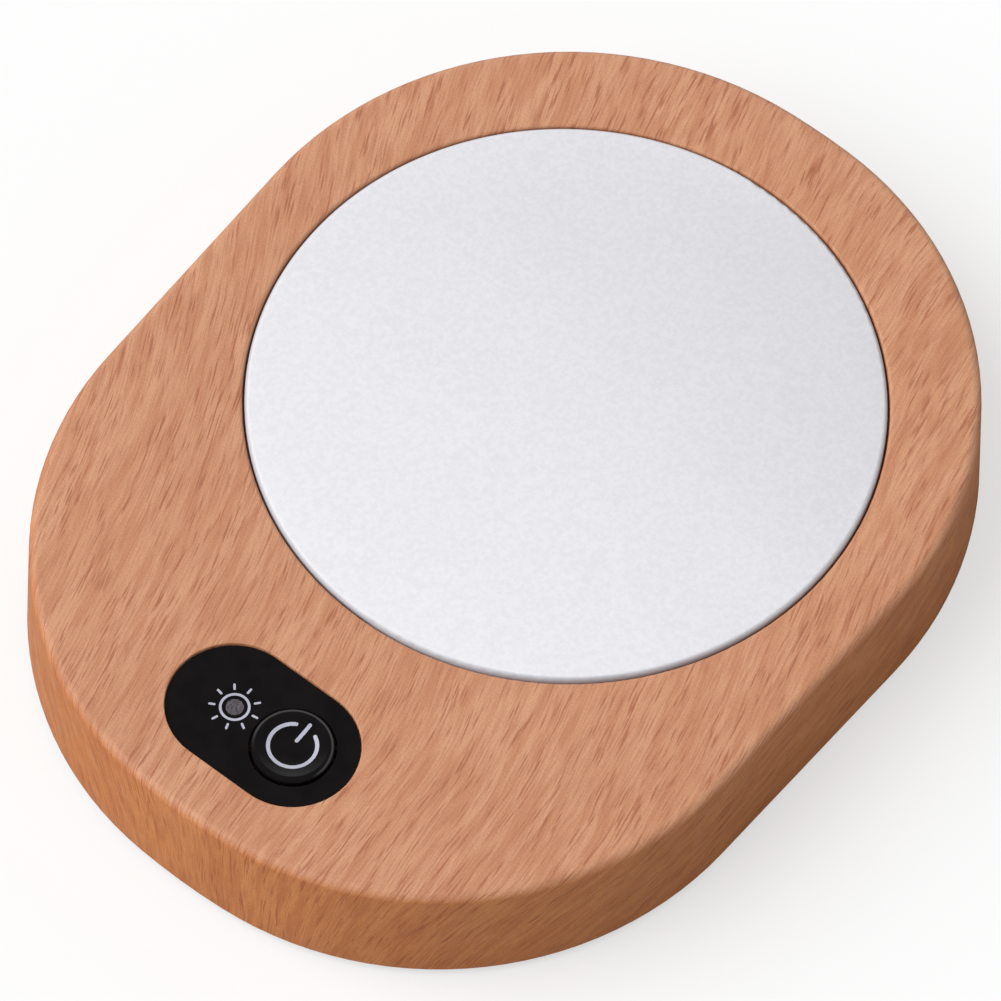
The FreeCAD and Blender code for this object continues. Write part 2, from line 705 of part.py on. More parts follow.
def make_heat_shield():
    """A pressed steel dish that holds the stack up and clamps on the seat's ledge."""
    t = shield_thickness
    outer = ledge_inner_radius - shield_clearance
    flange = opening_radius + shield_flange
    profile = [(0, shield_floor_z), (outer, shield_floor_z), (outer, ledge_bottom_z - t)]
    profile += [(flange, ledge_bottom_z - t), (flange, ledge_bottom_z), (outer - t, ledge_bottom_z)]
    profile += [(outer - t, shield_floor_z + t), (0, shield_floor_z + t)]
    low, high = shield_floor_z - over, shield_floor_z + t + over
    holes = [cylinder(shield_screw_hole, low, high, x, y) for x, y in post_places()]
    holes.append(cylinder(shield_centre_hole, low, high, plate_x, plate_y))
    holes.append(cylinder(grommet_hole, low, high, grommet_x, grommet_y))
    return turned(profile, plate_x, plate_y).cut(holes)


def make_shield_grommet():
    """A rubber grommet that keeps the heater leads off the shield's edge."""
    low, high, t = shield_floor_z, shield_floor_z + shield_thickness, grommet_flange
    neck, flange = grommet_hole - gasket_gap, grommet_flange_radius
    profile = [(grommet_bore, low - t), (flange, low - t), (flange, low), (neck, low)]
    profile += [(neck, high), (flange, high), (flange, high + t), (grommet_bore, high + t)]
    return turned(profile, grommet_x, grommet_y)


def make_plate_screws():
    return Part.makeCompound([screw(x, y, shield_floor_z, plate_screw) for x, y in post_places()])


def make_temperature_sensor():
    """A bead thermistor in an aluminium cap that touches the plate."""
    low = clamp_z + sensor_length_gap
    cap = cylinder(sensor_radius, low, plate_under_z, plate_x, plate_y)
    return cap.makeFillet(2 * sensor_length_gap, edges_at(cap, low))


def make_sensor_holder():
    """The flanged bush that centres the sensor in the clamp plate."""
    bore = sensor_radius + gasket_gap
    low, high = clamp_z - holder_flange_thickness, clamp_z + holder_height
    profile = [(bore, low), (holder_flange_radius, low), (holder_flange_radius, clamp_z)]
    profile += [(holder_radius, clamp_z), (holder_radius, high), (bore, high)]
    return turned(profile, plate_x, plate_y)


def make_thermal_fuse():
    """A one-shot cut-out: a metal can with a resin end and two bare leads."""
    can_end = fuse_x1 - fuse_cone
    can = rod(fuse_radius, fuse_x0, can_end, fuse_y, fuse_z)
    cone_start = Vector(can_end, fuse_y, fuse_z)
    end = Part.makeCone(fuse_cone_base, fuse_cone_tip, fuse_cone, cone_start, Vector(1, 0, 0))
    left_end = terminals[0][0] + barrel_length - 1.0
    left = rod(fuse_wire_radius, left_end, fuse_x0, fuse_y, fuse_z)
    right = rod(fuse_wire_radius, fuse_x1, fuse_x1 + fuse_tail, fuse_y, fuse_z)
    return can.fuse([end, left, right])


def make_fuse_clip():
    """A spring strip under the fuse, with a foot on each side against the clamp plate."""
    clear, t = fuse_radius + gasket_gap, clip_thickness
    strap = rod(clear + t, clip_x0, clip_x1, fuse_y, fuse_z)
    lower = block(clip_x0, clip_x1, fuse_y - 2 * clear, fuse_y + 2 * clear, fuse_z - 2 * clear, fuse_z)
    strap = strap.common(lower)
    wings = []
    for side in (-1, 1):
        y0, y1 = sorted((fuse_y + side * clear, fuse_y + side * (clear + t)))
        wings.append(block(clip_x0, clip_x1, y0, y1, fuse_z, clamp_z))
        y0, y1 = sorted((fuse_y + side * clear, fuse_y + side * (clear + clip_foot)))
        wings.append(block(clip_x0, clip_x1, y0, y1, clamp_z - t, clamp_z))
    hollow = rod(clear, clip_x0, clip_x1, fuse_y, fuse_z)
    above = block(clip_x0, clip_x1, fuse_y - clear, fuse_y + clear, fuse_z, clamp_z + over)
    return strap.fuse(wings).cut([hollow, above]).removeSplitter()


def make_heater_terminals():
    """Two rivets on the heating strip, each with a crimp barrel for a lead."""
    washer_low = clamp_z - terminal_washer_thickness - terminal_hole_gap
    washer_high = clamp_z - terminal_hole_gap
    profile = [(0, fuse_z), (terminal_radius, fuse_z), (terminal_radius, washer_low)]
    profile += [(terminal_washer_radius, washer_low), (terminal_washer_radius, washer_high)]
    profile += [(terminal_radius, washer_high), (terminal_radius, track_z), (0, track_z)]
    bores = (fuse_wire_radius + gasket_gap, lead_radius + gasket_gap / 2)
    parts = []
    for (x, y), bore in zip(terminals, bores):
        barrel = rod(barrel_radius, x, x + barrel_length, y, fuse_z)
        hollow = rod(bore, x + barrel_wall_end, x + barrel_wall_end + barrel_length, y, fuse_z)
        parts.append(turned(profile, x, y).fuse(barrel).cut(hollow))
    return Part.makeCompound(parts)


# Control panel: the black gloss insert, sunk in its pocket, open for the button and the light
def make_control_panel():
    panel = capsule(panel_half_straight, panel_radius, panel_under_z, panel_top_z, 0, panel_y)
    panel = panel.makeFillet(panel_edge_radius, edges_at(panel, panel_top_z))
    panel = panel.cut(cylinder(button_hole_radius, panel_under_z, panel_top_z, button_x, button_y))
    panel = panel.makeFillet(button_hole_edge_radius, edges_at(panel, panel_top_z, on_button_hole))
    return panel.cut(cylinder(light_radius + light_gap / 2, panel_under_z, panel_top_z, light_x, light_y))


def on_button_hole(edge):
    box = edge.BoundBox
    return abs(box.Center.x - button_x) < 0.1 and abs(box.XLength - 2 * button_hole_radius) < 0.1


def make_panel_adhesive():
    """The die-cut tape that bonds the panel to its pocket."""
    low, high = panel_floor_z, panel_under_z
    tape = capsule(panel_half_straight, panel_radius - adhesive_inset, low, high, 0, panel_y)
    button = cylinder(button_hole_radius + adhesive_inset, low, high, button_x, button_y)
    return tape.cut([button, cylinder(light_radius + adhesive_inset, low, high, light_x, light_y)])


def make_light_pipe():
    """A milky rod that carries the indicator's light up to the panel's face."""
    low, flange_low = board_top_z + led_height + light_gap, floor_under_z - light_flange
    profile = [(0, low), (light_radius, low), (light_radius, flange_low), (light_flange_radius, flange_low)]
    profile += [(light_flange_radius, floor_under_z), (light_radius, floor_under_z)]
    profile += [(light_radius, panel_top_z), (0, panel_top_z)]
    return turned(profile, light_x, light_y)


def make_power_button():
    """The cap: a rounded rim round a shallow dish, a body in the hole and a keyed flange below."""
    crown_z = panel_top_z + button_crown
    flange_top_z = floor_under_z - button_flange_gap
    cap = cylinder(button_radius, flange_top_z - button_flange_gap, crown_z, button_x, button_y)
    cap = cap.makeFillet(button_edge_radius, edges_at(cap, crown_z))
    ball_radius = (button_dish_radius**2 + button_dish**2) / (2 * button_dish)
    ball = Part.makeSphere(ball_radius, Vector(button_x, button_y, crown_z - button_dish + ball_radius))
    flange = cylinder(button_flange_radius, plunger_top_z, flange_top_z, button_x, button_y)
    reach = button_flange_radius + over
    keyed = block(button_x - key_half, button_x + key_half, button_y - reach, button_y + reach, 0, top_z)
    return cap.cut(ball).fuse(flange.common(keyed))


# Tactile switch: base with its well and legs, steel cover, plunger and domed spring
def make_switch_housing():
    x, y, z, half = button_x, button_y, board_top_z, switch_half
    base = block(x - half, x + half, y - half, y + half, z, z + switch_height - switch_plate)
    base = base.cut(cylinder(switch_well_radius, z + switch_well_floor, z + switch_height, x, y))
    legs = []
    for side in (-1, 1):
        x0, x1 = sorted((x + side * half, x + side * switch_leg_reach))
        for leg_y in (y - switch_leg_y, y + switch_leg_y):
            legs.append(block(x0, x1, leg_y - switch_leg_half, leg_y + switch_leg_half, z, z + switch_plate))
    return base.fuse(legs)


def make_switch_cover():
    x, y, z, half = button_x, button_y, board_top_z + switch_height, switch_half
    plate = block(x - half, x + half, y - half, y + half, z - switch_plate, z)
    return plate.cut(cylinder(switch_cover_hole, z - over, z + over, x, y))


def make_switch_plunger():
    """The switch's own plunger, which the button rests on."""
    low, flange = board_top_z + plunger_low, board_top_z + plunger_flange_top
    profile = [(0, low), (plunger_flange_radius, low), (plunger_flange_radius, flange)]
    profile += [(plunger_radius, flange), (plunger_radius, plunger_top_z), (0, plunger_top_z)]
    return turned(profile, button_x, button_y)


def make_switch_dome():
    """The domed spring disc that snaps down under the plunger and lifts it again."""
    floor_z = board_top_z + switch_well_floor
    radius = (dome_half**2 + dome_rise**2) / (2 * dome_rise)
    centre = Vector(button_x, button_y, floor_z + dome_rise - radius)
    shell = Part.makeSphere(radius, centre).cut(Part.makeSphere(radius - dome_thickness, centre))
    return shell.common(cylinder(dome_half + dome_thickness, floor_z, floor_z + over, button_x, button_y))


# Control board, with its front corners cut off, and what is soldered to it
def make_control_board():
    w, cut = board_half_width, board_corner
    corners = [(-w, board_y1), (-w, board_y0 + cut), (-w + cut, board_y0)]
    corners += [(w - cut, board_y0), (w, board_y0 + cut), (w, board_y1)]
    points = [Vector(x, y, board_z) for x, y in corners]
    board = Part.Face(Part.makePolygon(points + points[:1])).extrude(Vector(0, 0, board_thickness))
    return board.cut([cylinder(board_screw_hole, board_z, board_top_z, x, y) for x, y in board_screw_places])


def make_board_screws():
    return Part.makeCompound([screw(x, y, board_z, board_screw) for x, y in board_screw_places])


def make_status_led():
    """A surface-mount indicator lamp with a domed lens under the light pipe."""
    x, y, z = light_x, light_y, board_top_z
    base = block(x - led_half_x, x + led_half_x, y - led_half_y, y + led_half_y, z, z + led_base)
    return base.fuse(cylinder(led_dome_radius, z + led_base / 2, z + led_height, x, y))


def make_controller_chip():
    """An eight-leg control chip."""
    x, y, z = chip_x, chip_y, board_top_z
    y0, y1 = y - chip_half_y, y + chip_half_y
    body = block(x - chip_half_x, x + chip_half_x, y0, y1, z + 0.15, z + chip_height)
    legs = []
    for i in range(4):
        leg_x = x + (i - 1.5) * chip_leg_pitch
        for side in (-1, 1):
            y0, y1 = sorted((y + side * (chip_half_y - 0.05), y + side * chip_leg_reach))
            legs.append(block(leg_x - chip_leg_half, leg_x + chip_leg_half, y0, y1, z, z + 0.35))
    return body.fuse(legs)


def make_power_transistor():
    """The transistor that switches the heater, flat on its copper pad."""
    x, y, z, half = transistor_x, transistor_y, board_top_z, transistor_half
    tab = block(x - 0.8 * half, x + 0.8 * half, y + 0.7 * half, y + 1.2 * half, z, z + 0.5)
    body = block(x - half, x + half, y - 0.9 * half, y + 0.9 * half, z + 0.1, z + transistor_height)
    legs = []
    for side in (-1, 1):
        leg_x = x + side * 0.7 * half
        legs.append(block(leg_x - 0.4, leg_x + 0.4, y - 1.5 * half, y - 0.85 * half, z, z + 0.6))
    return body.fuse([tab] + legs)


def make_filter_capacitors():
    """Two upright electrolytic capacitors with crimped sleeves."""
    z, r, h = board_top_z, capacitor_radius, capacitor_height
    profile = [(0, z), (r, z), (r, z + 0.7), (r - capacitor_crimp, z + 1.0), (r, z + 1.3)]
    profile += [(r, z + h - 0.2), (r - 0.2, z + h), (0, z + h)]
    return Part.makeCompound([turned(profile, x, y) for x, y in capacitor_places])


def make_chip_resistors():
    """Small surface-mount resistors in two rows."""
    z, parts = board_top_z, []
    for first_x, y, count in resistor_rows:
        for i in range(count):
            x0 = first_x + i * resistor_pitch - resistor_half_x
            x1 = x0 + 2 * resistor_half_x
            parts.append(block(x0, x1, y - resistor_half_y, y + resistor_half_y, z, z + resistor_height))
    return Part.makeCompound(parts)


def make_header(x):
    """A side-entry header: an open-ended box on the board."""
    z, half, t = board_top_z, header_width / 2, header_wall
    body = block(x - half, x + half, header_y0, header_y1, z, z + header_height)
    inner_half, inner_y0 = half - t, header_y0 + header_back_wall
    return body.cut(block(x - inner_half, x + inner_half, inner_y0, header_y1, z + t, z + header_height - t))


def make_plug(x):
    """The plug housing in a header, with a finger ridge on its back end."""
    half = header_width / 2 - header_wall - plug_gap
    low = board_top_z + header_wall + plug_gap
    high = board_top_z + header_height - header_wall - plug_gap
    body = block(x - half, x + half, header_y0 + header_back_wall + plug_back_gap, plug_y1, low, high)
    return body.fuse(block(x - half, x + half, header_y1 + header_wall, plug_y1, low, high + plug_ridge))


# Power inlet on its own small board
def make_inlet_board():
    low, high = inlet_board_z, inlet_board_top_z
    board = block(-inlet_board_half_x, inlet_board_half_x, inlet_board_y0, inlet_board_y1, low, high)
    return board.cut([cylinder(board_screw_hole, low, high, x, y) for x, y in inlet_post_places])


def make_inlet_board_screws():
    parts = []
    for x, y in inlet_post_places:
        part = screw(0, 0, 0, inlet_screw)
        part.rotate(Vector(0, 0, 0), Vector(1, 0, 0), 180)
        part.translate(Vector(x, y, inlet_board_top_z))
        parts.append(part)
    return Part.makeCompound(parts)


def make_inlet_shell():
    """The inlet's drawn metal shell, open at the back of the body."""
    y0 = inlet_mouth_y - inlet_depth
    tube = upright_slot(inlet_width, inlet_height, y0, inlet_mouth_y)
    inner_width, inner_height = inlet_width - 2 * inlet_metal, inlet_height - 2 * inlet_metal
    return tube.cut(upright_slot(inner_width, inner_height, y0 - over, inlet_mouth_y + over))


def make_inlet_tongue():
    """The inlet's plastic back and the thin tongue that carries its contacts."""
    y0 = inlet_mouth_y - inlet_depth
    shrink = 2 * inlet_metal + 0.02
    back = upright_slot(inlet_width - shrink, inlet_height - shrink, y0, y0 + inlet_back)
    low, high = inlet_z - tongue_thickness / 2, inlet_z + tongue_thickness / 2
    tongue_y0, tongue_y1 = y0 + inlet_back - 0.1, inlet_mouth_y - tongue_inset
    return back.fuse(block(-tongue_half, tongue_half, tongue_y0, tongue_y1, low, high))


def make_inlet_contacts():
    """Gilt contact strips on both faces of the tongue."""
    upper, lower = inlet_z + tongue_thickness / 2, inlet_z - tongue_thickness / 2 - contact_thickness
    strips = []
    for i in range(contact_count):
        x0 = (i - (contact_count - 1) / 2) * contact_pitch - contact_width / 2
        for z in (upper, lower):
            strips.append(block(x0, x0 + contact_width, contact_y0, contact_y1, z, z + contact_thickness))
    return Part.makeCompound(strips)


# Leads inside the body, held from end to end
def lead_path(points):
    """Straight runs joined by tangent arcs, none tighter than the runs need."""
    points = [Vector(*p) for p in points]
    edges, start = [], points[0]
    for before, here, after in zip(points, points[1:], points[2:]):
        into, out = here - before, after - here
        half_turn = into.getAngle(out) / 2
        radius = min(lead_bend, 0.45 * min(into.Length, out.Length) / math.tan(half_turn))
        into.normalize()
        out.normalize()
        reach = radius * math.tan(half_turn)
        centre = here + (out - into).normalize() * (radius / math.cos(half_turn))
        middle = centre + (here - centre).normalize() * radius
        arc_start, arc_end = here - into * reach, here + out * reach
        edges.append(Part.LineSegment(start, arc_start).toShape())
        edges.append(Part.Arc(arc_start, middle, arc_end).toShape())
        start = arc_end
    edges.append(Part.LineSegment(start, points[-1]).toShape())
    return Part.Wire(edges)


def lead(name, points, radius):
    """A round lead along the path. It prints its length and how true its volume is."""
    path = lead_path(points)
    first = Vector(*points[1]) - Vector(*points[0])
    section = Part.Wire(Part.makeCircle(radius, Vector(*points[0]), first))
    solid = path.makePipeShell([section], True, True)
    share = solid.Volume / (math.pi * radius**2 * path.Length)
    print(f"{name}: {path.Length:.1f} mm long, volume share {share:.3f}")
    return solid


def plug_start(name, side, run_z):
    """The lead's first points: straight out of its plug, then down to the level it runs at."""
    x = header_places[name] + side * lead_pitch / 2
    return [(x, plug_y1, lead_z), (x, plug_y1 + lead_straight, lead_z), (x, plug_y1 + lead_drop_end, run_z)]


def heater_lead_points(side):
    """From the plug, up through the grommet, to the fuse or to the far terminal."""
    x = grommet_x + side * heater_lead_spread
    route = plug_start("heater", side, heater_run_z)
    route += [(x, grommet_y, heater_run_z), (x, grommet_y, fuse_z)]
    if side < 0:
        return route + [(fuse_x1 + fuse_tail, fuse_y, fuse_z)]
    far_x, far_y = terminals[1]
    return route + [(x - 4.0, far_y, fuse_z), (far_x + barrel_wall_end + terminal_hole_gap, far_y, fuse_z)]


def sensor_lead_points(side):
    """From the plug to the middle of the plate, then up into the sensor."""
    x = plate_x + side * sensor_lead_spread
    top = clamp_z + sensor_length_gap
    return plug_start("sensor", side, sensor_run_z) + [(x, plate_y, sensor_run_z), (x, plate_y, top)]


def supply_lead_points(side):
    """From the plug to the inlet board at the back."""
    x = side * lead_pitch
    ends = [(x, supply_lead_y, supply_run_z), (x, supply_lead_end_y, supply_run_z)]
    return plug_start("supply", side, supply_run_z) + ends


def make_leads():
    """Every lead inside the body, by node name."""
    routes = {
        "heater_lead_fused": (heater_lead_points(-1), lead_radius),
        "heater_lead_return": (heater_lead_points(1), lead_radius),
        "sensor_lead_left": (sensor_lead_points(-1), thin_lead_radius),
        "sensor_lead_right": (sensor_lead_points(1), thin_lead_radius),
        "supply_lead_left": (supply_lead_points(-1), lead_radius),
        "supply_lead_right": (supply_lead_points(1), lead_radius),
    }
    return {name: lead(name, *route) for name, route in routes.items()}


def make_pieces():
    pieces = {
        "top_shell": make_top_shell(),
        "bottom_cover": make_bottom_cover(),
        "rating_label": make_rating_label(),
        "cover_screws": make_cover_screws(),
        "heating_plate": make_heating_plate(),
        "plate_gasket": make_plate_gasket(),
        "heater_upper_mica": make_heater_upper_mica(),
        "heater_track": make_heater_track(),
        "heater_lower_mica": make_heater_lower_mica(),
        "heater_terminals": make_heater_terminals(),
        "clamp_plate": make_clamp_plate(),
        "insulation_pad": make_insulation_pad(),
        "heat_shield": make_heat_shield(),
        "shield_grommet": make_shield_grommet(),
        "plate_screws": make_plate_screws(),
        "temperature_sensor": make_temperature_sensor(),
        "sensor_holder": make_sensor_holder(),
        "thermal_fuse": make_thermal_fuse(),
        "fuse_clip": make_fuse_clip(),
        "control_panel": make_control_panel(),
        "panel_adhesive": make_panel_adhesive(),
        "light_pipe": make_light_pipe(),
        "power_button": make_power_button(),
        "switch_housing": make_switch_housing(),
        "switch_cover": make_switch_cover(),
        "switch_plunger": make_switch_plunger(),
        "switch_dome": make_switch_dome(),
        "control_board": make_control_board(),
        "board_screws": make_board_screws(),
        "status_led": make_status_led(),
        "controller_chip": make_controller_chip(),
        "power_transistor": make_power_transistor(),
        "filter_capacitors": make_filter_capacitors(),
        "chip_resistors": make_chip_resistors(),
        "inlet_board": make_inlet_board(),
        "inlet_board_screws": make_inlet_board_screws(),
        "inlet_shell": make_inlet_shell(),
        "inlet_tongue": make_inlet_tongue(),
        "inlet_contacts": make_inlet_contacts(),
    }
    for name, place in foot_places.items():
        pieces[name] = make_foot(*place)
    for name, x in header_places.items():
        pieces[name + "_header"] = make_header(x)
        pieces[name + "_plug"] = make_plug(x)
    pieces.update(make_leads())
    return pieces


def main():
    os.makedirs("parts", exist_ok=True)
    pieces = make_pieces()
    for name, shape in pieces.items():
        solids = shape.Solids
        if not solids or not all(s.isValid() and s.Volume > 0 for s in solids):
            raise ValueError(f"{name} is not made of sound solids")
        shape.exportStep(f"parts/{name}.step")
    print(f"{len(pieces)} nodes, {sum(len(s.Solids) for s in pieces.values())} solids")


main()
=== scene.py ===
import bmesh
import bpy
import json
import math
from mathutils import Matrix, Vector


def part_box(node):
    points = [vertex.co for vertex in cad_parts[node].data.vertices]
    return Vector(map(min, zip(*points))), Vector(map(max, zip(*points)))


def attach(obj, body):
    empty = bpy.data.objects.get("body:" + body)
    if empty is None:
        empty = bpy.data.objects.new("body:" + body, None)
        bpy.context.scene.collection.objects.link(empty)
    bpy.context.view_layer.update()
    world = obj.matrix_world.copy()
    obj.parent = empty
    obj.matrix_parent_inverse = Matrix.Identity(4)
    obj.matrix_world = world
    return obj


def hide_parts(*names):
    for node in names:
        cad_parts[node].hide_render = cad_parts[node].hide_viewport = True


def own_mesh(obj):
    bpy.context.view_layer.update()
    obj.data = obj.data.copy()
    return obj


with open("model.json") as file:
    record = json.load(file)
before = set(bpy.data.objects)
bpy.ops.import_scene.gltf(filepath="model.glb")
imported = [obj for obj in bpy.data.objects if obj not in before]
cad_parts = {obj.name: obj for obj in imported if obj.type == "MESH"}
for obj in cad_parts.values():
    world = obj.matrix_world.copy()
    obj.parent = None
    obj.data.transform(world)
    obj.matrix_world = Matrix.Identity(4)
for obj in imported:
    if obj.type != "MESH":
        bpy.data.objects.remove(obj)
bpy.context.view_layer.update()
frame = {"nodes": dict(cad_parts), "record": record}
nodes = frame["nodes"]
mm = 0.001


# Colours are written as they look on screen and turned to scene values here
def colour(red, green, blue):
    def toLinear(value):
        value /= 255
        return value / 12.92 if value <= 0.04045 else ((value + 0.055) / 1.055) ** 2.4
    return (toLinear(red), toLinear(green), toLinear(blue), 1.0)


# Places and levels, taken from the frame
def middleOf(node):
    low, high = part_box(node)
    return ((low[0] + high[0]) / 2, (low[1] + high[1]) / 2)


def topOf(node):
    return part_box(node)[1][2]


shellTop = topOf("top_shell")
panelTop = topOf("control_panel")
buttonTop = topOf("power_button")
buttonX, buttonY = middleOf("power_button")
lightX, lightY = middleOf("light_pipe")
plateX, plateY = middleOf("heating_plate")
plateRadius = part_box("heating_plate")[1][0] - plateX


# Shader helpers
noiseSpan = (0.3, 0.7)  # where most values of a noise lie
tightSpan = (0.35, 0.65)


class Shader:
    def __init__(self, owner, mainNode="Principled BSDF"):
        owner.use_nodes = True
        self.owner = owner
        self.tree = owner.node_tree
        self.main = self.tree.nodes[mainNode]

    def add(self, kind, **settings):
        node = self.tree.nodes.new(kind)
        for name, value in settings.items():
            setattr(node, name, value)
        return node

    def link(self, source, target):
        self.tree.links.new(source, target)

    def put(self, socket, value):
        if isinstance(value, bpy.types.NodeSocket):
            self.link(value, socket)
        else:
            socket.default_value = value

    def math(self, operation, first, second=0.0):
        node = self.add("ShaderNodeMath", operation=operation)
        self.put(node.inputs[0], first)
        self.put(node.inputs[1], second)
        return node.outputs[0]

    def split(self, vector):
        node = self.add("ShaderNodeSeparateXYZ")
        self.link(vector, node.inputs[0])
        return node.outputs

    def combine(self, x, y, z=0.0):
        node = self.add("ShaderNodeCombineXYZ")
        for socket, value in zip(node.inputs, (x, y, z)):
            self.put(socket, value)
        return node.outputs[0]

    def noise(self, vector, scale=1.0, detail=2.0, roughness=0.5):
        node = self.add("ShaderNodeTexNoise")
        self.put(node.inputs["Vector"], vector)
        node.inputs["Scale"].default_value = scale
        node.inputs["Detail"].default_value = detail
        node.inputs["Roughness"].default_value = roughness
        return node.outputs["Fac"]

    def remap(self, value, low, high, newLow=0.0, newHigh=1.0, smooth=True):
        kind = "SMOOTHSTEP" if smooth else "LINEAR"
        node = self.add("ShaderNodeMapRange", interpolation_type=kind)
        self.put(node.inputs["Value"], value)
        ends = (("From Min", low), ("From Max", high), ("To Min", newLow), ("To Max", newHigh))
        for name, number in ends:
            node.inputs[name].default_value = number
        return node.outputs["Result"]

    def mix(self, factor, first, second, blend="MIX"):
        node = self.add("ShaderNodeMix", data_type="RGBA", blend_type=blend)
        for index, value in ((0, factor), (6, first), (7, second)):
            self.put(node.inputs[index], value)
        return node.outputs[2]

    def mixNumber(self, factor, first, second):
        node = self.add("ShaderNodeMix")
        for index, value in ((0, factor), (2, first), (3, second)):
            self.put(node.inputs[index], value)
        return node.outputs[0]

    def bump(self, height, strength, distance):
        node = self.add("ShaderNodeBump")
        node.inputs["Strength"].default_value = strength
        node.inputs["Distance"].default_value = distance
        self.link(height, node.inputs["Height"])
        self.link(node.outputs["Normal"], self.main.inputs["Normal"])

    def objectCoords(self):
        # the mesh's own coordinates, in mm
        coords = self.add("ShaderNodeTexCoord")
        mapping = self.add("ShaderNodeMapping")
        mapping.inputs["Scale"].default_value = (1 / mm,) * 3
        self.link(coords.outputs["Object"], mapping.inputs["Vector"])
        return mapping.outputs["Vector"]


def newShader(name):
    return Shader(bpy.data.materials.new(name))


def useMaterial(obj, material):
    obj.data.materials.clear()
    obj.data.materials.append(material)


# Wood-look film: soft bands, pores in loose chains and a fine speckle, all along a curved grain,
# with painted shade on the side wall
woodLook = {
    "light": (218, 161, 125),
    "band": (199, 136, 100),
    "pore": (170, 100, 72),
    "sideShadeTint": (264, 232, 176),  # painted shade: darkens and warms the film on the side wall
    "sideShadeFull": 1.4,  # how far below the top the painted shade is full, in mm
    "lean": 0.28,  # the grain's mean slope
    "leanWave": 0.12,  # how much the slope swings from front to back
    "waveLength": 22.0,
    "waveY": -36.0,  # the line where the slope is at its mean
    "fan": 0.0025,  # the slope's change from left to right
    # the grain's drift: amount in mm, spans along X and Y in mm, place in the noise
    "wanders": ((5.0, 40, 46, 1.7), (1.0, 9, 13, 8.3)),
    # marks: width, length in mm, place in the noise, detail, where they start and are full, share
    "layers": {
        "bands": (1.7, 12.0, 3.1, 2.0, 0.42, 0.64, 0.65),
        "wide": (7.0, 30.0, 5.9, 1.5, 0.4, 0.62, 0.3),
        "chains": (1.2, 8.0, 7.7, 1.5, 0.42, 0.6, 0.75),
        "pores": (0.28, 4.2, 12.3, 1.5, 0.5, 0.66, 0.75),
        "hairs": (0.24, 6.0, 21.9, 1.5, 0.46, 0.64, 0.26),
    },
    "speckleScale": 3.4,
    "speckle": (0.93, 1.06),
    "speckleRise": 0.5,  # how far a speck stands up, against a pore's depth
    "wearScale": 0.35,
    "roughness": (0.38, 0.5),
    "bump": 0.12,
    "bumpDepth": 0.04 * mm,
}


def makeWood():
    look = woodLook
    sh = newShader("woodLookFilm")
    uv = sh.add("ShaderNodeUVMap", uv_map="filmMap")
    place = sh.split(uv.outputs["UV"])
    x = sh.math("MULTIPLY", place[0], 1 / mm)
    y = sh.math("MULTIPLY", place[1], 1 / mm)
    # distance across the grain: a leaning wave that fans out, then a slow and a quick wander
    shifted = sh.math("SUBTRACT", y, look["waveY"])
    wave = sh.math("COSINE", sh.math("DIVIDE", shifted, look["waveLength"]))
    bend = sh.math("MULTIPLY", wave, -look["leanWave"] * look["waveLength"])
    fan = sh.math("MULTIPLY", sh.math("MULTIPLY", x, shifted), -look["fan"])
    across = sh.math("ADD", sh.math("ADD", x, sh.math("MULTIPLY", shifted, look["lean"])), bend)
    across = sh.math("ADD", across, fan)
    for amount, spanX, spanY, depth in look["wanders"]:
        u, v = sh.math("MULTIPLY", x, 1 / spanX), sh.math("MULTIPLY", y, 1 / spanY)
        drift = sh.math("SUBTRACT", sh.noise(sh.combine(u, v, depth), detail=1.0), 0.5)
        across = sh.math("ADD", across, sh.math("MULTIPLY", drift, amount))

    def marks(name):
        width, length, depth, detail, start, full, share = look["layers"][name]
        u = sh.math("MULTIPLY", across, 1 / width)
        v = sh.math("ADD", sh.math("MULTIPLY", y, 1 / length), depth)
        return sh.remap(sh.noise(sh.combine(u, v, depth), detail=detail), start, full), share

    def laidOn(base, mark, share, tone):
        return sh.mix(sh.math("MULTIPLY", mark, share), base, colour(*look[tone]))

    base = laidOn(colour(*look["light"]), *marks("bands"), "band")
    base = laidOn(base, *marks("wide"), "band")
    # most pores lie along the chains
    chains, gathering = marks("chains")
    kept = sh.remap(chains, 0.0, 1.0, 1 - gathering, 1.0, smooth=False)
    pores, share = marks("pores")
    pores = sh.math("MULTIPLY", pores, kept)
    base = laidOn(base, pores, share, "pore")
    base = laidOn(base, *marks("hairs"), "pore")
    coords = sh.objectCoords()
    speckle = sh.remap(sh.noise(coords, scale=look["speckleScale"]), *noiseSpan, *look["speckle"])
    base = sh.mix(1.0, base, sh.combine(speckle, speckle, speckle), "MULTIPLY")
    top = shellTop / mm
    # painted shade: the side wall darker and warmer than the top
    side = sh.remap(sh.split(coords)[2], top - look["sideShadeFull"], top, 1.0, 0.0)
    base = sh.mix(side, base, colour(*look["sideShadeTint"]), "MULTIPLY")
    sh.link(base, sh.main.inputs["Base Color"])
    wear = sh.noise(coords, scale=look["wearScale"], detail=3.0)
    sh.link(sh.remap(wear, *noiseSpan, *look["roughness"]), sh.main.inputs["Roughness"])
    height = sh.math("SUBTRACT", sh.math("MULTIPLY", speckle, look["speckleRise"]), pores)
    sh.bump(height, look["bump"], look["bumpDepth"])
    return sh.owner


# Moulded and soft finishes: a base colour with a faint mottle, grain in the bump and uneven gloss
plasticIor = 1.5
blotchScale = 0.25
grainDepth = 0.05 * mm
glossSwing = 0.15

